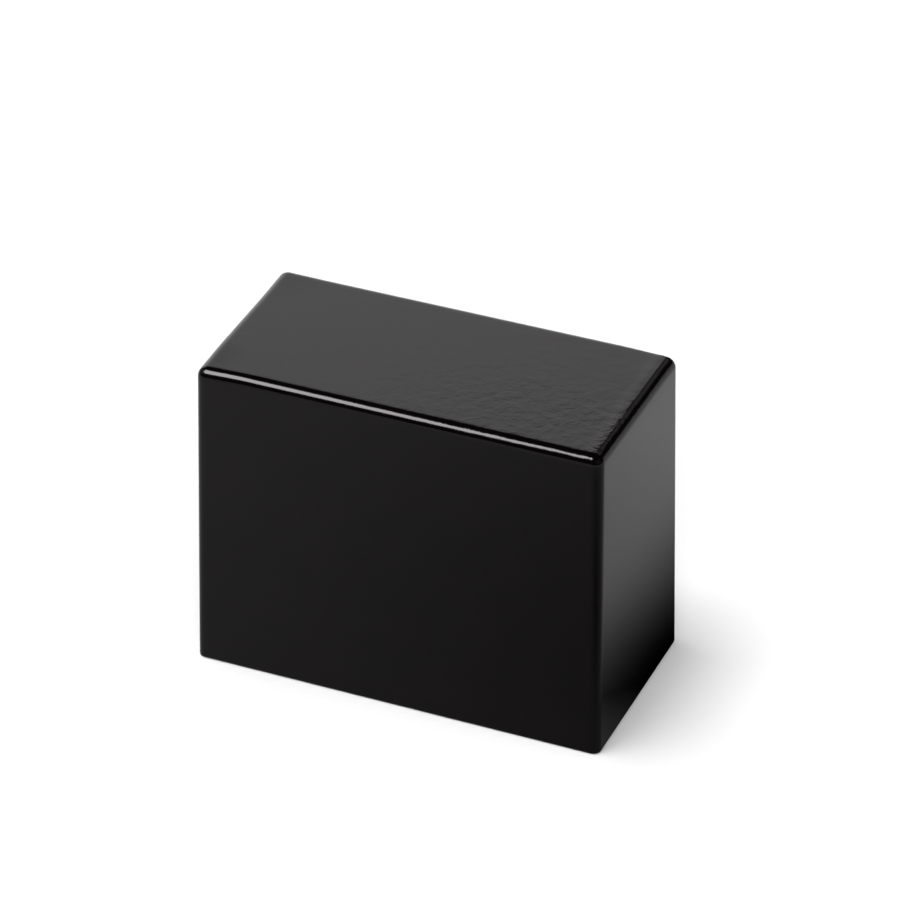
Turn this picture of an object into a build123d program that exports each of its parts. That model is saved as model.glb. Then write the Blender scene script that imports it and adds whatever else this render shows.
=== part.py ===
"""A block-shaped charcoal stick in a pull-off vinyl cover.

The stick is one block of compressed charcoal, pressed in a die that leaves a slight draft, so it is a
little wider at its foot than at its drawing end. Paper is wrapped round its lower part and folded shut
under its foot, as a clean grip to stand it on. A dip-moulded vinyl cover with the same draft slips down
over the drawing end until its open rim meets the table.

Frame: millimetres, +Z up, the origin in the middle of the foot, X along the long side.
"""

from build123d import *

import os
from math import radians, tan

# The charcoal block. Its length and width are taken where its sides would reach the table.
stick_length = 60.0
stick_width = 28.0
stick_height = 48.2
stick_corner_radius = 0.9  # the four upright edges
stick_edge_radius = 0.8  # round the drawing end
draft_angle = 0.9  # of every side, on the block, the wrap and the cover alike

# The paper wrap.
paper_thickness = 0.2
wrap_height = 29.0  # the drawing end above this is bare
fold_layers = 2  # the end flaps, then the side flaps over them
seam_width = 9.0  # where the sheet overlaps itself, on the back

# The vinyl cover, and how it fits.
cover_wall = 1.3
cover_corner_radius = 1.9  # the four upright edges, outside
cover_edge_radius = 1.7  # round the closed end, outside
side_clearance = 0.5  # between the wrap's single layer and the cover, each side
end_clearance = 0.3  # between the drawing end and the inside of the closed end

# What follows from those sizes.
slope = tan(radians(draft_angle))
fold_thickness = fold_layers * paper_thickness
cavity_length = stick_length + 2 * (paper_thickness + side_clearance)
cavity_width = stick_width + 2 * (paper_thickness + side_clearance)
cavity_height = fold_thickness + stick_height + end_clearance
cavity_corner_radius = cover_corner_radius - cover_wall
cavity_edge_radius = max(cover_edge_radius - cover_wall, cavity_corner_radius / 2)
cover_length = cavity_length + 2 * cover_wall
cover_width = cavity_width + 2 * cover_wall
cover_height = cavity_height + cover_wall


def drafted_block(length, width, corner_radius, bottom, top, mode=Mode.ADD):
    """Adds or cuts a block from height bottom to top that is length by width at height 0 and narrows upward."""
    sections = []
    for height in (bottom, top):
        narrowing = 2 * height * slope
        with BuildSketch(Plane.XY.offset(height)) as section:
            RectangleRounded(length - narrowing, width - narrowing, corner_radius)
        sections.append(section.sketch)
    loft(sections, ruled=True, mode=mode)


# The charcoal block stands on the folded paper, with its drawing end up and eased.
with BuildPart() as charcoal_stick:
    drafted_block(
        stick_length, stick_width, stick_corner_radius, fold_thickness, fold_thickness + stick_height
    )
    fillet(charcoal_stick.edges().group_by(Axis.Z)[-1], stick_edge_radius)


# The paper lies against the block on all four sides and under its foot. The two ends of the sheet
# overlap in a glued seam up the middle of the back: the second layer is drawn sunk into the first.
with BuildPart() as paper_wrap:
    drafted_block(
        stick_length + 2 * paper_thickness,
        stick_width + 2 * paper_thickness,
        stick_corner_radius + paper_thickness,
        0,
        wrap_height,
    )
    for height in (0, wrap_height):
        with BuildSketch(Plane.XY.offset(height)):
            with Locations((0, stick_width / 2 + paper_thickness - height * slope)):
                Rectangle(seam_width, 2 * paper_thickness)
    loft(ruled=True)
    drafted_block(
        stick_length, stick_width, stick_corner_radius, fold_thickness, wrap_height, mode=Mode.SUBTRACT
    )

# The cover is one even wall over all of it, closed at the top and cut off square at the open rim.
with BuildPart() as cover:
    drafted_block(cover_length, cover_width, cover_corner_radius, 0, cover_height)
    fillet(cover.edges().group_by(Axis.Z)[-1], cover_edge_radius)
    drafted_block(
        cavity_length, cavity_width, cavity_corner_radius, 0, cavity_height, mode=Mode.SUBTRACT
    )
    fillet(cover.edges().filter_by_position(Axis.Z, cavity_height, cavity_height), cavity_edge_radius)

os.makedirs("parts", exist_ok=True)
for name, piece in (
    ("charcoal_stick", charcoal_stick),
    ("paper_wrap", paper_wrap),
    ("cover", cover),
):
    piece.part.label = name
    export_step(piece.part, f"parts/{name}.step")
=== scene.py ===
"""A block-shaped charcoal stick in a pull-off vinyl cover, standing on a pale table.

The object is put together from the inside out: the charcoal block, the paper wrapped round its lower
part, and the cover that slips down over both. Metres throughout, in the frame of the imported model.
"""

from math import cos, pi, radians, sin, tan

import bmesh
import bpy
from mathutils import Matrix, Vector, noise


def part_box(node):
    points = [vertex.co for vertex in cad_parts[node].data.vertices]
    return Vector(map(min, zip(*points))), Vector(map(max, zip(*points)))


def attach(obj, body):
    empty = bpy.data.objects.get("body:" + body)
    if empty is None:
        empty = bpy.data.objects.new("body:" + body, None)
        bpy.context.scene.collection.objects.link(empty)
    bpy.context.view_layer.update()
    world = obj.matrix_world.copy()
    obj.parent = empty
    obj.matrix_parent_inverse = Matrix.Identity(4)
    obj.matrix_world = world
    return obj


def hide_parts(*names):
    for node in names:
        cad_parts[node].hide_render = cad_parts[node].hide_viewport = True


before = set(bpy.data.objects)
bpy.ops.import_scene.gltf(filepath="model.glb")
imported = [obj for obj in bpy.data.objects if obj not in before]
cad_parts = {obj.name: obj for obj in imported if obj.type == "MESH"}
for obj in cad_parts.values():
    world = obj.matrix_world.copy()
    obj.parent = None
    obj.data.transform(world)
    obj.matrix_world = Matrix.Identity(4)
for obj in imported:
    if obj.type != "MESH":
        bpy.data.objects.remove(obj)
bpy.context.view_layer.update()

MM = 0.001
SLOPE = tan(radians(0.9))  # every side of the block, the wrap and the cover leans in by this draft


# The charcoal block
# One block of charcoal powder and binder, pressed in a steel die and left matt. The die's draft makes
# it a little wider at the foot. Its edges leave the die rounded, and crumble a little in handling.


def add_node(tree, kind, inputs=None, **settings):
    """Adds a node, applies its settings, and links or fills its inputs, named or numbered."""
    node = tree.nodes.new(kind)
    for name, value in settings.items():
        setattr(node, name, value)
    for key, value in (inputs or {}).items():
        if isinstance(value, bpy.types.NodeSocket):
            tree.links.new(value, node.inputs[key])
        else:
            node.inputs[key].default_value = value
    return node


def number(tree, operation, *values):
    """One step of arithmetic on numbers; returns its result."""
    return add_node(tree, "ShaderNodeMath", dict(enumerate(values)), operation=operation).outputs[0]


def vector(tree, operation, *values):
    """One step of arithmetic on vectors; returns its result."""
    node = add_node(tree, "ShaderNodeVectorMath", dict(enumerate(values)), operation=operation)
    return node.outputs["Value" if operation in ("LENGTH", "DISTANCE") else "Vector"]


def scaled(tree, direction, amount):
    """A vector made longer by a number."""
    return add_node(
        tree, "ShaderNodeVectorMath", {0: direction, "Scale": amount}, operation="SCALE"
    ).outputs[0]


def fade(tree, value, low, high):
    """A smooth step from 0 at low to 1 at high; high may be the smaller one."""
    return add_node(
        tree, "ShaderNodeMapRange", {"Value": value, 1: low, 2: high}, interpolation_type="SMOOTHSTEP"
    ).outputs[0]


def new_tree(name, sizes):
    """A geometry tree with a mesh output and these named inputs: {name: kind of socket}."""
    tree = bpy.data.node_groups.new(name, "GeometryNodeTree")
    for label, kind in sizes.items():
        tree.interface.new_socket(label, in_out="INPUT", socket_type="NodeSocket" + kind)
    tree.interface.new_socket("Mesh", in_out="OUTPUT", socket_type="NodeSocketGeometry")
    return tree, tree.nodes.new("NodeGroupInput").outputs


def moulded_block_tree():
    """Shapes a unit box skin into a rounded block with draft, its foot at z = 0.

    Each point is first put on a square-cornered rim round the flat core, then drawn in to the edge
    radius, which on the upright edges changes to the foot radius lower down. The block is lifted, and
    the draft then pulls the sides in, the more the higher they are.
    """
    tree, given = new_tree("moulded_block", {
        "Skin": "Geometry", "Selection": "Bool", "Half Size": "Vector", "Edge Radius": "Float",
        "Foot Radius": "Float", "Edge Share": "Vector", "Lift": "Float",
    })
    half, radius, share = given["Half Size"], given["Edge Radius"], given["Edge Share"]
    place = tree.nodes.new("GeometryNodeInputPosition").outputs[0]
    side = vector(tree, "SIGN", place)
    reach = vector(tree, "ABSOLUTE", place)
    flat_share = vector(tree, "SUBTRACT", (1, 1, 1), share)
    along = vector(tree, "MINIMUM", vector(tree, "DIVIDE", reach, flat_share), (1, 1, 1))
    bend = vector(tree, "DIVIDE", vector(tree, "SUBTRACT", reach, flat_share), share)
    bend = vector(tree, "MAXIMUM", bend, (0, 0, 0))
    low = fade(tree, add_node(tree, "ShaderNodeSeparateXYZ", {0: place}).outputs["Z"], 1.0, 0.0)
    less = number(tree, "MULTIPLY", number(tree, "SUBTRACT", given["Foot Radius"], radius), low)
    upright = number(tree, "ADD", radius, less)
    rim = add_node(tree, "ShaderNodeCombineXYZ", {0: upright, 1: upright, 2: radius}).outputs[0]
    core = vector(tree, "MULTIPLY", along, vector(tree, "SUBTRACT", half, rim))
    core = vector(tree, "MULTIPLY", core, side)
    out = vector(tree, "TANGENT", vector(tree, "MULTIPLY", bend, (pi / 4, pi / 4, pi / 4)))
    length = vector(tree, "LENGTH", out)
    drawn_in = number(tree, "DIVIDE", 1.0, number(tree, "MAXIMUM", length, 1.0))
    out = vector(tree, "MULTIPLY", vector(tree, "MULTIPLY", out, rim), side)
    rounded = vector(tree, "ADD", core, scaled(tree, out, drawn_in))
    marked = add_node(tree, "GeometryNodeStoreNamedAttribute", {
        "Geometry": given["Skin"],
        "Selection": given["Selection"],
        "Name": "edge",
        "Value": number(tree, "SUBTRACT", length, 1.0),
    }, data_type="FLOAT", domain="POINT")
    lift = add_node(tree, "ShaderNodeCombineXYZ", {2: given["Lift"]}).outputs[0]
    lifted = vector(tree, "ADD", rounded, lift)
    height = add_node(tree, "ShaderNodeSeparateXYZ", {0: lifted}).outputs["Z"]
    lean = number(tree, "MULTIPLY", height, SLOPE)
    leans = add_node(tree, "ShaderNodeCombineXYZ", {0: lean, 1: lean}).outputs[0]
    drafted = vector(tree, "SUBTRACT", (1, 1, 1), vector(tree, "DIVIDE", leans, half))
    shaped = add_node(tree, "GeometryNodeSetPosition", {
        "Geometry": marked.outputs[0],
        "Selection": given["Selection"],
        "Position": vector(tree, "MULTIPLY", lifted, drafted),
    })
    add_node(tree, "NodeGroupOutput", {0: shaped.outputs[0]})
    return tree


moulded_block = moulded_block_tree()


def shape_block(tree, skin, half, radius, foot_radius, share, lift=0.0, selection=True):
    """Runs the moulded-block tree on a skin, or on the selected part of it, inside another tree."""
    group = tree.nodes.new("GeometryNodeGroup")
    group.node_tree = moulded_block
    for label, value in (
        ("Skin", skin), ("Selection", selection), ("Half Size", half), ("Edge Radius", radius),
        ("Foot Radius", foot_radius), ("Edge Share", share), ("Lift", lift),
    ):
        if isinstance(value, bpy.types.NodeSocket):
            tree.links.new(value, group.inputs[label])
        else:
            group.inputs[label].default_value = value
    return group.outputs[0]


def push(tree, mesh, amount, selection=True):
    """Moves a mesh's points along their normals by an amount, which may vary over it."""
    outward = tree.nodes.new("GeometryNodeInputNormal").outputs[0]
    return add_node(tree, "GeometryNodeSetPosition", {
        "Geometry": mesh, "Selection": selection, "Offset": scaled(tree, outward, amount),
    }).outputs[0]


def relief(tree, scale, detail, seed, stretch=(1, 1, 1)):
    """A cloudy value about 0.5 that varies over a mesh; stretch shortens its grain along an axis."""
    place = tree.nodes.new("GeometryNodeInputPosition").outputs[0]
    return add_node(tree, "ShaderNodeTexNoise", {
        "Vector": vector(tree, "MULTIPLY", place, stretch),
        "Scale": scale, "Detail": detail, "Roughness": 0.6, "W": seed,
    }, noise_dimensions="4D").outputs[0]


def end_tree(tree, mesh, material):
    """Closes a tree as every one here ends: real geometry, smooth, with its material."""
    real = add_node(tree, "GeometryNodeRealizeInstances", {0: mesh})
    smooth = add_node(tree, "GeometryNodeSetShadeSmooth", {0: real.outputs[0]})
    painted = add_node(
        tree, "GeometryNodeSetMaterial", {"Geometry": smooth.outputs[0], "Material": material}
    )
    add_node(tree, "NodeGroupOutput", {0: painted.outputs[0]})


def made_by(tree, name, sizes):
    """The mesh that a geometry tree makes for these inputs, as a plain object at the origin."""
    piece = bpy.data.objects.new(name, bpy.data.meshes.new(name + "_start"))
    bpy.context.scene.collection.objects.link(piece)
    modifier = piece.modifiers.new(name, "NODES")
    modifier.node_group = tree
    for item in tree.interface.items_tree:
        if item.in_out == "INPUT":
            modifier[item.identifier] = sizes[item.name]
    bpy.context.view_layer.update()
    evaluated = piece.evaluated_get(bpy.context.evaluated_depsgraph_get())
    mesh = bpy.data.meshes.new_from_object(evaluated)
    piece.modifiers.remove(modifier)
    piece.data = mesh
    mesh.name = name
    return piece


BLOCK_FACES = (65, 32, 52)  # from the block's middle to its side, to its front and to its top
BLOCK_ROUND_FACES = 6  # of those, in the rounding of an edge


def charcoal_block_tree():
    """The pressed block: its skin, its crumbled edges and its shallow pits."""
    tree, given = new_tree("charcoal_block", {
        "Half Size": "Vector", "Edge Radius": "Float", "Edge Share": "Vector", "Lift": "Float",
        "Chip Depth": "Float", "Pit Depth": "Float", "Seed": "Float", "Material": "Material",
    })
    box = add_node(tree, "GeometryNodeMeshCube", {
        "Size": (2, 2, 2), "Vertices X": 2 * BLOCK_FACES[0] + 1, "Vertices Y": 2 * BLOCK_FACES[1] + 1,
        "Vertices Z": 2 * BLOCK_FACES[2] + 1,
    })
    block = shape_block(
        tree, box.outputs[0], given["Half Size"], given["Edge Radius"], given["Edge Radius"],
        given["Edge Share"], given["Lift"],
    )
    edge = add_node(tree, "GeometryNodeInputNamedAttribute", {"Name": "edge"}).outputs[0]
    chips = fade(tree, relief(tree, 230.0, 3.0, given["Seed"]), 0.52, 0.72)
    chips = number(tree, "MULTIPLY", chips, fade(tree, edge, 0.0, 0.35))
    pits = fade(tree, relief(tree, 620.0, 2.0, given["Seed"]), 0.60, 0.78)
    depth = number(
        tree, "ADD",
        number(tree, "MULTIPLY", chips, given["Chip Depth"]),
        number(tree, "MULTIPLY", pits, given["Pit Depth"]),
    )
    end_tree(tree, push(tree, block, number(tree, "MULTIPLY", depth, -1.0)), given["Material"])
    return tree


def surface_texture(tree, kind, scale, **inputs):
    """A texture of a material that reads the piece's own coordinates."""
    place = add_node(tree, "ShaderNodeTexCoord").outputs["Object"]
    values = {"Vector": place, "Scale": scale}
    values.update({key.replace("_", " "): value for key, value in inputs.items()})
    return add_node(tree, "ShaderNodeTex" + kind, values)


def colour_ramp(tree, value, *stops):
    """A colour that follows a number; each stop is (position, (red, green, blue))."""
    ramp = add_node(tree, "ShaderNodeValToRGB", {0: value})
    while len(ramp.color_ramp.elements) < len(stops):
        ramp.color_ramp.elements.new(0.5)
    for element, (position, colour) in zip(ramp.color_ramp.elements, stops):
        element.position = position
        element.color = (*colour, 1)
    return ramp.outputs[0]


def new_material(name):
    """A material with only its shader in it; returns the material, its tree and the shader."""
    material = bpy.data.materials.new(name)
    material.use_nodes = True
    tree = material.node_tree
    return material, tree, tree.nodes["Principled BSDF"]


def charcoal_material():
    """Soft black, with open pores and a dusting of its own powder; its edges greyer, worn and with a
    painted sheen.
    """
    material, tree, shader = new_material("compressed_charcoal")
    cloud = surface_texture(tree, "Noise", 90.0, Detail=6.0, Roughness=0.65).outputs[0]
    speck = surface_texture(tree, "Noise", 2600.0, Detail=3.0, Roughness=0.7).outputs[0]
    edge = add_node(tree, "ShaderNodeAttribute", attribute_name="edge").outputs["Fac"]
    # Greyer along the rubbed edges: partly wear, partly a painted sheen in the colour.
    wear_and_sheen = number(tree, "MULTIPLY", fade(tree, edge, -0.1, 0.4), fade(tree, cloud, 0.35, 0.6))
    tone = number(tree, "ADD", number(tree, "MULTIPLY", cloud, 0.6), number(tree, "MULTIPLY", speck, 0.4))
    tone = number(tree, "ADD", tone, number(tree, "MULTIPLY", wear_and_sheen, 0.22))
    colour = colour_ramp(
        tree, tone,
        (0.30, (0.010, 0.0098, 0.0098)), (0.52, (0.024, 0.0235, 0.0235)), (0.78, (0.085, 0.084, 0.085)),
    )
    tree.links.new(colour, shader.inputs["Base Color"])
    roughness = number(tree, "SUBTRACT", 1.02, number(tree, "MULTIPLY", tone, 0.42))
    tree.links.new(roughness, shader.inputs["Roughness"])
    shader.inputs["Specular IOR Level"].default_value = 0.35
    pore = surface_texture(tree, "Voronoi", 1500.0).outputs["Distance"]
    height = number(tree, "ADD", number(tree, "MULTIPLY", pore, 0.5), speck)
    bump = add_node(tree, "ShaderNodeBump", {"Strength": 0.55, "Distance": 0.12 * MM, "Height": height})
    tree.links.new(bump.outputs[0], shader.inputs["Normal"])
    return material


stick_low, stick_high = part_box("charcoal_stick")
stick_height = stick_high.z - stick_low.z
stick_length = stick_high.x - stick_low.x + 2 * stick_low.z * SLOPE
stick_width = stick_high.y - stick_low.y + 2 * stick_low.z * SLOPE

charcoal = made_by(charcoal_block_tree(), "charcoal_block", {
    "Half Size": (stick_length / 2, stick_width / 2, stick_height / 2),
    "Edge Radius": 0.85 * MM,
    "Edge Share": [BLOCK_ROUND_FACES / faces for faces in BLOCK_FACES],
    "Lift": stick_low.z + stick_height / 2,
    "Chip Depth": 0.28 * MM,
    "Pit Depth": 0.05 * MM,
    "Seed": 4.0,
    "Material": charcoal_material(),
})
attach(charcoal, "stick")
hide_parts("charcoal_stick")


# The paper wrap
# A strip of brown kraft paper wound once round the block's lower part and glued where it overlaps, up
# the middle of the back. Below, it is folded shut like a parcel: the end flaps, then the side flaps.

PAPER_THICKNESS = 0.2 * MM
FOLD_RADIUS = 1.0 * MM  # where the sheet turns round the block's upright edges
SEAM_WIDTH = 9.0 * MM
wrap_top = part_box("paper_wrap")[1].z
turn = FOLD_RADIUS * pi / 2  # the way round one upright edge
across = stick_length / 2 - FOLD_RADIUS  # half the flat of a broad side
deep = stick_width / 2 - FOLD_RADIUS  # half the flat of a narrow side
outline_length = 4 * (across + deep + turn)


def round_the_block(travel):
    """The point and outward direction on the block's outline, from the middle of the back clockwise."""
    travel %= outline_length
    heading, out = Vector((1, 0)), Vector((0, 1))
    centre = Vector((0, deep))
    for straight in (across, 2 * deep, 2 * across, 2 * deep, across):
        if travel <= straight:
            return centre + heading * travel + out * FOLD_RADIUS, out
        centre += heading * straight
        travel -= straight
        if travel <= turn:
            bend = travel / FOLD_RADIUS
            out = out * cos(bend) + heading * sin(bend)
            return centre + out * FOLD_RADIUS, out
        travel -= turn
        heading, out = -out, heading
    return centre + out * FOLD_RADIUS, out


def smooth(share):
    """A smooth step of a share that is held between 0 and 1."""
    share = min(max(share, 0), 1)
    return share * share * (3 - 2 * share)


def wrap_point(travel, height):
    """A point of the sheet's inner side, which lies on the block and steps over itself at the seam."""
    spot, out = round_the_block(travel)
    climb = height / wrap_top
    gap = 0.01 * MM
    step = smooth((travel - (outline_length - SEAM_WIDTH / 2)) / (1.5 * MM)) * PAPER_THICKNESS
    ripple = max(noise.noise(Vector((travel * 160, height * 110, 3.7))), 0) * 0.05 * MM
    lip = max(noise.noise(Vector((travel * 90, 1.3, 0))), 0) * 0.12 * MM * climb ** 8
    free_edge = smooth((travel - (outline_length + SEAM_WIDTH / 2 - 1.8 * MM)) / (1.8 * MM)) * 0.08 * MM
    spot = spot + out * (gap + step + ripple + lip + free_edge - height * SLOPE)
    cut = noise.noise(Vector((travel * 420, 8.1, 0))) * 0.06 * MM * climb ** 6
    return Vector((spot.x, spot.y, height + cut))


def wound_sheet(mesh, columns, rows):
    """The sheet from one end of the seam round to the other, as an open grid."""
    step = (outline_length + SEAM_WIDTH) / columns
    start = -SEAM_WIDTH / 2
    grid = [
        [mesh.verts.new(wrap_point(i * step + start, wrap_top * j / rows)) for j in range(rows + 1)]
        for i in range(columns + 1)
    ]
    for near, far in zip(grid, grid[1:]):
        for j in range(rows):
            mesh.faces.new((near[j], near[j + 1], far[j + 1], far[j]))


def corner_points(along, aside, start):
    """Points round one corner of the block's foot, anticlockwise from this angle in degrees."""
    return [
        (
            along * across + FOLD_RADIUS * cos(radians(angle)),
            aside * deep + FOLD_RADIUS * sin(radians(angle)),
        )
        for angle in range(start, start + 91, 30)
    ]


def folded_flap(mesh, outline, side, low):
    """One flap folded under the block, facing down; the paper's thickness is added below it."""
    mesh.faces.new([mesh.verts.new((side * x, side * y, low)) for x, y in reversed(outline)])


def paper_material():
    """Brown kraft paper: fine pulp fibres and darker flecks, smudged with charcoal above."""
    material, tree, shader = new_material("kraft_paper")
    place = add_node(tree, "ShaderNodeTexCoord").outputs["Object"]
    laid = vector(tree, "MULTIPLY", place, (0.3, 0.3, 1))
    fibre = add_node(tree, "ShaderNodeTexNoise", {
        "Vector": laid, "Scale": 4200.0, "Detail": 4.0, "Roughness": 0.6, "Distortion": 0.9,
    }).outputs[0]
    mottle = surface_texture(tree, "Noise", 420.0, Detail=4.0, Roughness=0.6).outputs[0]
    tone = number(tree, "ADD", number(tree, "MULTIPLY", fibre, 0.5), number(tree, "MULTIPLY", mottle, 0.5))
    paper = colour_ramp(
        tree, tone,
        (0.30, (0.37, 0.245, 0.145)), (0.50, (0.455, 0.315, 0.195)), (0.70, (0.54, 0.39, 0.255)),
    )
    fleck = add_node(tree, "ShaderNodeTexVoronoi", {
        "Vector": vector(tree, "MULTIPLY", place, (0.45, 0.45, 1)), "Scale": 1400.0, "Randomness": 1.0,
    }).outputs["Distance"]
    flecks = number(tree, "MULTIPLY", fade(tree, fleck, 0.16, 0.05), 0.55)
    flecked = add_node(
        tree, "ShaderNodeMix", {0: flecks, 6: paper, 7: (0.20, 0.115, 0.06, 1)}, data_type="RGBA"
    ).outputs[2]
    smear = surface_texture(tree, "Noise", 75.0, Detail=7.0, Roughness=0.7).outputs[0]
    height = add_node(tree, "ShaderNodeSeparateXYZ", {0: place}).outputs["Z"]
    upper = fade(tree, height, 0.6 * wrap_top, 1.02 * wrap_top)
    smudge = number(tree, "ADD", smear, number(tree, "MULTIPLY", upper, 0.2))
    smudge = number(tree, "MULTIPLY", fade(tree, smudge, 0.57, 0.84), 0.7)
    dirty = add_node(
        tree, "ShaderNodeMix", {0: smudge, 6: flecked, 7: (0.035, 0.032, 0.030, 1)}, data_type="RGBA"
    ).outputs[2]
    tree.links.new(dirty, shader.inputs["Base Color"])
    shader.inputs["Roughness"].default_value = 0.82
    shader.inputs["Specular IOR Level"].default_value = 0.3
    bump = add_node(tree, "ShaderNodeBump", {"Strength": 0.4, "Distance": 0.03 * MM, "Height": tone})
    tree.links.new(bump.outputs[0], shader.inputs["Normal"])
    return material


sheet = bmesh.new()
wound_sheet(sheet, 320, 34)
half_length, half_width = stick_length / 2, stick_width / 2
flap_reach = half_width - 0.1 * MM
flap_end = half_length - flap_reach
end_flap = corner_points(1, -1, -90) + corner_points(1, 1, 0)
end_flap += [(flap_end, half_width), (flap_end, -half_width)]
side_flap = corner_points(-1, -1, 180) + corner_points(1, -1, 270)
side_flap += [(flap_end, flap_reach - half_width), (-flap_end, flap_reach - half_width)]
tucked_in = 0.999  # the end flaps lie inside the side flaps' folds, so they are a hair smaller
for side in (-1, 1):
    folded_flap(sheet, end_flap, tucked_in * side, 2 * PAPER_THICKNESS)
    folded_flap(sheet, side_flap, side, PAPER_THICKNESS)
wrap_mesh = bpy.data.meshes.new("kraft_wrap")
sheet.to_mesh(wrap_mesh)
sheet.free()
wrap = bpy.data.objects.new("kraft_wrap", wrap_mesh)
bpy.context.scene.collection.objects.link(wrap)
wrap_mesh.materials.append(paper_material())
wrap_mesh.shade_smooth()
thickness = wrap.modifiers.new("thickness", "SOLIDIFY")
thickness.thickness = PAPER_THICKNESS
thickness.offset = 1
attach(wrap, "stick")
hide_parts("paper_wrap")


# The vinyl cover
# One skin of soft black vinyl, made by dipping a drafted block-shaped mould, curing the coat and pulling
# it off, then trimming the rim. The closed end keeps a faint peel and a fat lip along its right edge.

SKIN_FACES = (75, 38, 60)  # from the cover's middle to its side, to its front, and from its rim up
SKIN_ROUND_FACES = 8  # of those, in the rounding of an edge
SAME_POINT = 0.001 * MM  # points closer than this are welded


def squared(tree, value):
    """A number times itself."""
    return number(tree, "MULTIPLY", value, value)


def open_skin(tree):
    """A unit box with no bottom, standing at z = 0, with rows that crowd together towards its rim."""
    box = add_node(tree, "GeometryNodeMeshCube", {
        "Size": (2, 2, 1), "Vertices X": 2 * SKIN_FACES[0] + 1, "Vertices Y": 2 * SKIN_FACES[1] + 1,
        "Vertices Z": SKIN_FACES[2] + 1,
    })
    standing = add_node(
        tree, "GeometryNodeTransform", {"Geometry": box.outputs[0], "Translation": (0, 0, 0.5)}
    )
    place = tree.nodes.new("GeometryNodeInputPosition").outputs[0]
    x, y, z = add_node(tree, "ShaderNodeSeparateXYZ", {0: place}).outputs
    crowded = add_node(tree, "ShaderNodeCombineXYZ", {0: x, 1: y, 2: squared(tree, z)})
    spaced = add_node(tree, "GeometryNodeSetPosition", {
        "Geometry": standing.outputs[0], "Position": crowded.outputs[0],
    })
    facing = tree.nodes.new("GeometryNodeInputNormal").outputs[0]
    upward = add_node(tree, "ShaderNodeSeparateXYZ", {0: facing}).outputs["Z"]
    return add_node(tree, "GeometryNodeDeleteGeometry", {
        "Geometry": spaced.outputs[0], "Selection": number(tree, "LESS_THAN", upward, -0.5),
    }, domain="FACE").outputs[0]


def walled_shell(tree, given):
    """The skin given an inside, a wall and a rim; returns the shell and which of its points are outside."""
    skin = open_skin(tree)
    doubled = add_node(tree, "GeometryNodeExtrudeMesh", {
        "Mesh": skin, "Offset Scale": 0.0, "Individual": False,
    }, mode="FACES")
    marked = add_node(tree, "GeometryNodeStoreNamedAttribute", {
        "Geometry": doubled.outputs["Mesh"], "Name": "outside", "Value": doubled.outputs["Top"],
    }, data_type="BOOLEAN", domain="POINT").outputs[0]
    outside = add_node(
        tree, "GeometryNodeInputNamedAttribute", {"Name": "outside"}, data_type="BOOLEAN"
    ).outputs[0]
    inside = add_node(tree, "FunctionNodeBooleanMath", {0: outside}, operation="NOT").outputs[0]
    half, wall, share = given["Half Size"], given["Wall"], given["Edge Share"]
    walls = add_node(tree, "ShaderNodeCombineXYZ", {0: wall, 1: wall, 2: wall}).outputs[0]
    inner_half = vector(tree, "SUBTRACT", half, walls)
    outer, inner = given["Edge Radius"], given["Inside Radius"]
    coat = shape_block(tree, marked, half, outer, given["Foot Radius"], share, selection=outside)
    coat = shape_block(tree, coat, inner_half, inner, inner, share, selection=inside)
    lining = shape_block(tree, skin, inner_half, inner, inner, share)
    flipped = add_node(tree, "GeometryNodeFlipFaces", {0: lining}).outputs[0]
    both = tree.nodes.new("GeometryNodeJoinGeometry")
    tree.links.new(coat, both.inputs[0])
    tree.links.new(flipped, both.inputs[0])
    shell = add_node(tree, "GeometryNodeMergeByDistance", {
        "Geometry": both.outputs[0], "Distance": SAME_POINT,
    }).outputs[0]
    return shell, outside


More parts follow.
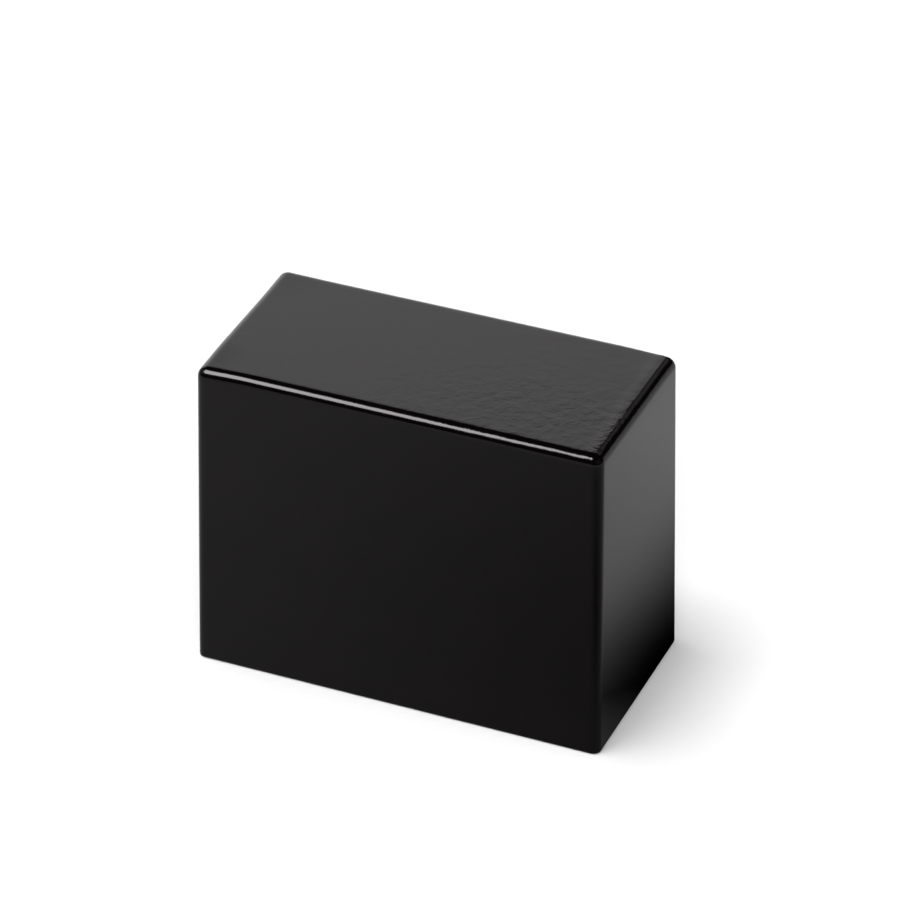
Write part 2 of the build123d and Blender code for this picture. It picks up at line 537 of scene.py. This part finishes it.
def vinyl_cover_tree():
    """An open box skin with an inside, given the marks of dipping on its closed end."""
    tree, given = new_tree("vinyl_cover", {
        "Half Size": "Vector", "Edge Radius": "Float", "Foot Radius": "Float", "Wall": "Float",
        "Inside Radius": "Float", "Rim Radius": "Float", "Edge Share": "Vector", "Peel": "Float",
        "Fat Edge": "Float", "Droop": "Float", "Bow": "Float", "Seed": "Float", "Material": "Material",
    })
    shell, outside = walled_shell(tree, given)
    place = tree.nodes.new("GeometryNodeInputPosition").outputs[0]
    x, y, z = add_node(tree, "ShaderNodeSeparateXYZ", {0: place}).outputs
    half_x, half_y, top = add_node(tree, "ShaderNodeSeparateXYZ", {0: given["Half Size"]}).outputs
    below_top = number(tree, "SUBTRACT", top, z)
    from_right = number(tree, "SUBTRACT", half_x, x)
    from_left = number(tree, "ADD", half_x, x)
    from_front = number(tree, "ADD", half_y, y)
    from_back = number(tree, "SUBTRACT", half_y, y)

    def from_corner(side, face):
        """How far a point is from the upright edge where a side meets the front or the back."""
        return number(tree, "SQRT", number(tree, "ADD", squared(tree, side), squared(tree, face)))

    # The marks of dipping: the peel is strongest near the front right corner, and the coat was
    # thickest where it ran to, just inside the right edge. The broad walls bow in a little.
    closed_end = fade(tree, below_top, 1.1 * MM, 0.2 * MM)
    thick_corner = fade(tree, from_corner(from_right, from_front), 42 * MM, 6 * MM)
    peel = number(tree, "SUBTRACT", relief(tree, 620.0, 3.0, given["Seed"], (0.8, 1.3, 1)), 0.5)
    peel = number(tree, "MULTIPLY", peel, number(tree, "MULTIPLY_ADD", thick_corner, 0.75, 0.25))
    peel = number(tree, "MULTIPLY", number(tree, "MULTIPLY", peel, closed_end), given["Peel"])
    lip_place, lip_width = 3.2 * MM, 0.55 * MM
    from_lip = number(tree, "DIVIDE", number(tree, "SUBTRACT", from_right, lip_place), lip_width)
    lip = number(tree, "EXPONENT", number(tree, "MULTIPLY", squared(tree, from_lip), -1.0))
    lip = number(tree, "MULTIPLY", number(tree, "MULTIPLY", lip, closed_end), given["Fat Edge"])
    along = number(tree, "SUBTRACT", 1.0, squared(tree, number(tree, "DIVIDE", x, half_x)))
    rise = number(tree, "DIVIDE", z, top)
    up = number(tree, "MULTIPLY", rise, number(tree, "SUBTRACT", 1.0, rise))
    bow = number(tree, "MULTIPLY", number(tree, "MULTIPLY", along, up), -4.0)
    bow = number(tree, "MULTIPLY", bow, given["Bow"])
    shell = push(tree, shell, number(tree, "ADD", number(tree, "ADD", peel, lip), bow), outside)

    # The trimmed rim is eased: its outer edge turns in through a quarter circle.
    rim_radius = given["Rim Radius"]
    low = number(tree, "MINIMUM", number(tree, "DIVIDE", z, rim_radius), 1.0)
    low = number(tree, "SUBTRACT", 1.0, low)
    turned = number(tree, "SQRT", number(tree, "SUBTRACT", 1.0, squared(tree, low)))
    tucked = number(tree, "MULTIPLY", number(tree, "SUBTRACT", turned, 1.0), rim_radius)
    outward = tree.nodes.new("GeometryNodeInputNormal").outputs[0]
    outward = vector(tree, "NORMALIZE", vector(tree, "MULTIPLY", outward, (1, 1, 0)))
    shell = add_node(tree, "GeometryNodeSetPosition", {
        "Geometry": shell, "Selection": outside, "Offset": scaled(tree, outward, tucked),
    }).outputs[0]

    # The soft corners of the closed end are not quite true: two sag, and one leans out.
    droop = (0, 0, 0)
    for side, face, shift in (
        (from_right, from_back, (0, 0, -1.0)),
        (from_left, from_front, (0, 0, -1.5)),
        (from_left, from_back, (-0.6, 0, 0.4)),
    ):
        near = fade(tree, from_corner(side, face), 10 * MM, 0.0)
        near = number(tree, "MULTIPLY", near, fade(tree, below_top, 8 * MM, 0.0))
        droop = vector(tree, "ADD", droop, scaled(tree, shift, near))
    shell = add_node(tree, "GeometryNodeSetPosition", {
        "Geometry": shell, "Selection": outside, "Offset": scaled(tree, droop, given["Droop"]),
    }).outputs[0]
    end_tree(tree, shell, given["Material"])
    return tree


def vinyl_material():
    """Glossy black vinyl, smooth on the sides, with a fine leathery peel on the closed end."""
    material, tree, shader = new_material("black_vinyl")
    cloud = surface_texture(tree, "Noise", 120.0, Detail=3.0, Roughness=0.55).outputs[0]
    black = colour_ramp(tree, cloud, (0.3, (0.0010, 0.0006, 0.0009)), (0.7, (0.0016, 0.0010, 0.0014)))
    tree.links.new(black, shader.inputs["Base Color"])
    facing = add_node(tree, "ShaderNodeNewGeometry").outputs["Normal"]
    upward = add_node(tree, "ShaderNodeSeparateXYZ", {0: facing}).outputs["Z"]
    roughness = number(tree, "MULTIPLY_ADD", cloud, 0.05, 0.10)
    closed_end = fade(tree, upward, 0.95, 0.995)
    roughness = number(tree, "MULTIPLY_ADD", closed_end, 0.07, roughness)
    tree.links.new(roughness, shader.inputs["Roughness"])
    shader.inputs["IOR"].default_value = 1.3
    shader.inputs["Specular Tint"].default_value = (1, 0.95, 0.98, 1)

    # The peel's wrinkles run deepest by the front right corner, and are gritty along the right edge.
    place = add_node(tree, "ShaderNodeTexCoord").outputs["Object"]
    warped = surface_texture(tree, "Noise", 760.0, Detail=2.0, Roughness=0.5, Distortion=1.2).outputs[0]
    stretched = vector(tree, "MULTIPLY", place, (1, 1.7, 1))
    thick_corner = vector(tree, "DISTANCE", stretched, (20 * MM, -22 * MM, 49 * MM))
    thick_corner = fade(tree, thick_corner, 46 * MM, 6 * MM)
    depth = number(tree, "MULTIPLY_ADD", thick_corner, 0.92, 0.08)
    wrinkle = number(tree, "MULTIPLY", warped, depth)
    x, y = add_node(tree, "ShaderNodeSeparateXYZ", {0: place}).outputs[:2]
    right_edge = fade(tree, x, 28.4 * MM, 29.6 * MM)
    right_edge = number(tree, "MULTIPLY", right_edge, fade(tree, y, 8 * MM, -6 * MM))
    grit = surface_texture(tree, "Noise", 1500.0, Detail=1.0, Roughness=0.5, Distortion=0.6).outputs[0]
    grit = number(tree, "MULTIPLY_ADD", grit, 0.8, warped)
    wrinkle = number(tree, "ADD", wrinkle, number(tree, "MULTIPLY", right_edge, grit))
    height = number(tree, "MULTIPLY", wrinkle, fade(tree, upward, 0.6, 0.95))
    bump = add_node(tree, "ShaderNodeBump", {"Strength": 0.38, "Distance": 0.1 * MM, "Height": height})
    tree.links.new(bump.outputs[0], shader.inputs["Normal"])
    return material


cover_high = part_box("cover")[1]
round_share = [SKIN_ROUND_FACES / faces for faces in SKIN_FACES]
cover = made_by(vinyl_cover_tree(), "vinyl_cover", {
    "Half Size": (cover_high.x, cover_high.y, cover_high.z),
    "Edge Radius": 1.6 * MM,
    "Foot Radius": 1.25 * MM,
    "Wall": 1.3 * MM,
    "Inside Radius": 0.5 * MM,
    "Rim Radius": 0.35 * MM,
    "Edge Share": (round_share[0], round_share[1], 1 - (1 - round_share[2]) ** 2),
    "Peel": 0.10 * MM,
    "Fat Edge": 0.035 * MM,
    "Droop": 0.2 * MM,
    "Bow": 0.08 * MM,
    "Seed": 2.0,
    "Material": vinyl_material(),
})
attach(cover, "cover")
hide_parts("cover")


# The table, the lights and the camera
# A white table top with no edge in sight, with painted shade in what the gloss mirrors of it.
# A soft light high on the left and a weaker one in front make the shadow. A strip and some panels
# are there for the gloss. The camera is far off, with a long lens.


def white_table():
    """A white table top that mirrors dimmer in the gloss, a painted shade: darker toward the front right,
    and a painted shadow beside the cover's right side.
    """
    mesh = bpy.data.meshes.new("table_top")
    mesh.from_pydata([(-6, -6, 0), (6, -6, 0), (6, 6, 0), (-6, 6, 0)], [], [(0, 1, 2, 3)])
    table = bpy.data.objects.new("table_top", mesh)
    bpy.context.scene.collection.objects.link(table)
    material, tree, shader = new_material("white_table")
    shader.inputs["Roughness"].default_value = 1.0
    shader.inputs["Specular IOR Level"].default_value = 0.0
    place = add_node(tree, "ShaderNodeTexCoord").outputs["Object"]
    # The table's colour for glossy rays is painted darker, the more so toward the front right: painted
    # shade.
    from_front_right = vector(tree, "DISTANCE", place, (58 * MM, -48 * MM, 0))
    painted_gloss_shade = number(tree, "MULTIPLY_ADD", from_front_right, 4.7, 0.06)
    painted_gloss_shade = number(tree, "MINIMUM", painted_gloss_shade, 0.62)
    # A painted shadow in the gloss colour: it lies beside the cover's right side, and ends ahead of it and
    # behind it.
    x, y = add_node(tree, "ShaderNodeSeparateXYZ", {0: place}).outputs[:2]
    rightward = number(tree, "SUBTRACT", x, cover_high.x)
    aside = fade(tree, number(tree, "ABSOLUTE", rightward), 0.0, 17 * MM)
    ahead = fade(tree, y, 5 * MM, -20 * MM)
    behind = fade(tree, number(tree, "MULTIPLY_ADD", rightward, -2.4, y), 16 * MM, 34 * MM)
    outside_painted_shadow = number(tree, "MAXIMUM", number(tree, "MAXIMUM", aside, ahead), behind)
    painted_gloss_shade = number(tree, "MULTIPLY", painted_gloss_shade, outside_painted_shadow)
    in_gloss = add_node(tree, "ShaderNodeLightPath").outputs["Is Glossy Ray"]
    whiteness = add_node(tree, "ShaderNodeMix", {0: in_gloss, 2: 0.85, 3: painted_gloss_shade}).outputs[0]
    grey = add_node(tree, "ShaderNodeCombineColor", {0: whiteness, 1: whiteness, 2: whiteness})
    tree.links.new(grey.outputs[0], shader.inputs["Base Color"])
    mesh.materials.append(material)


white_table()


def place_light(name, kind, azimuth, elevation, distance=2.0, **settings):
    """A light aimed at the object's middle. Azimuth 0 is in front of it, 90 on its right."""
    a, e = radians(azimuth), radians(elevation)
    toward = Vector((sin(a) * cos(e), -cos(a) * cos(e), sin(e)))
    data = bpy.data.lights.new(name, kind)
    light = bpy.data.objects.new(name, data)
    for key, value in settings.items():
        setattr(light if key.startswith("visible") else data, key, value)
    light.location = Vector((0, 0, 25 * MM)) + toward * distance
    light.rotation_mode = "QUATERNION"
    light.rotation_quaternion = toward.to_track_quat("Z", "Y")
    light.visible_camera = False
    bpy.context.scene.collection.objects.link(light)


def softbox(name, azimuth, elevation, distance, radiance, width, height, color=(1, 1, 1)):
    """A rectangular softbox whose face is this bright. It shows in the gloss and lights nothing else."""
    place_light(
        name, "AREA", azimuth, elevation, distance, shape="RECTANGLE", size=width, size_y=height,
        energy=radiance * pi * width * height, color=color, visible_diffuse=False,
    )


place_light("overhead", "SUN", -50, 79, energy=2.45, angle=radians(26), visible_glossy=False)
place_light("front_fill", "SUN", 22, 36, energy=1.27, angle=radians(26), visible_glossy=False)
softbox("strip", -44, 50, 1.0, 22.0, 0.57, 0.42)
softbox("panel", 217, 20, 1.2, 1.62, 0.99, 0.90, color=(1, 0.99, 1))
softbox("far_panel", 169, 38, 1.2, 0.5, 0.44, 0.30)
softbox("backdrop", 147, 4, 1.6, 0.7, 0.60, 0.34)
softbox("room_right", 66, 26, 1.6, 0.2, 1.40, 0.80)
softbox("room_left", -82, 26, 1.6, 0.5, 1.20, 0.90)


def studio_air():
    """A soft fill all round, nearly black where the gloss mirrors it, and white to the camera itself."""
    world = bpy.data.worlds.new("studio")
    bpy.context.scene.world = world
    world.use_nodes = True
    tree = world.node_tree
    fill = tree.nodes["Background"]
    fill.inputs["Color"].default_value = (0.27, 0.27, 0.27, 1)
    dark = add_node(tree, "ShaderNodeBackground", {"Color": (0.02, 0.02, 0.02, 1)})
    bright = add_node(tree, "ShaderNodeBackground", {"Color": (1, 1, 1, 1)})
    rays = add_node(tree, "ShaderNodeLightPath").outputs
    around = add_node(tree, "ShaderNodeMixShader", {
        0: rays["Is Glossy Ray"], 1: fill.outputs[0], 2: dark.outputs[0],
    })
    seen = add_node(tree, "ShaderNodeMixShader", {
        0: rays["Is Camera Ray"], 1: around.outputs[0], 2: bright.outputs[0],
    })
    tree.links.new(seen.outputs[0], tree.nodes["World Output"].inputs["Surface"])


studio_air()
bpy.context.scene.view_settings.view_transform = "Standard"

camera_azimuth, camera_elevation = radians(23.0), radians(32.9)
camera_distance = 0.70
camera_back = Vector((
    sin(camera_azimuth) * cos(camera_elevation),
    -cos(camera_azimuth) * cos(camera_elevation),
    sin(camera_elevation),
))
camera_right = Vector((cos(camera_azimuth), sin(camera_azimuth), 0))
camera_up = camera_back.cross(camera_right)
aim = Vector((0, 0, cover_high.z / 2)) + camera_right * 1.85 * MM + camera_up * 8.28 * MM
lens = bpy.data.cameras.new("camera")
lens.lens = 191.8
lens.sensor_width = 36
lens.clip_start = 0.05
lens.clip_end = 20
camera = bpy.data.objects.new("camera", lens)
camera.location = aim + camera_back * camera_distance
camera.rotation_mode = "QUATERNION"
camera.rotation_quaternion = camera_back.to_track_quat("Z", "Y")
bpy.context.scene.collection.objects.link(camera)
bpy.context.scene.camera = camera
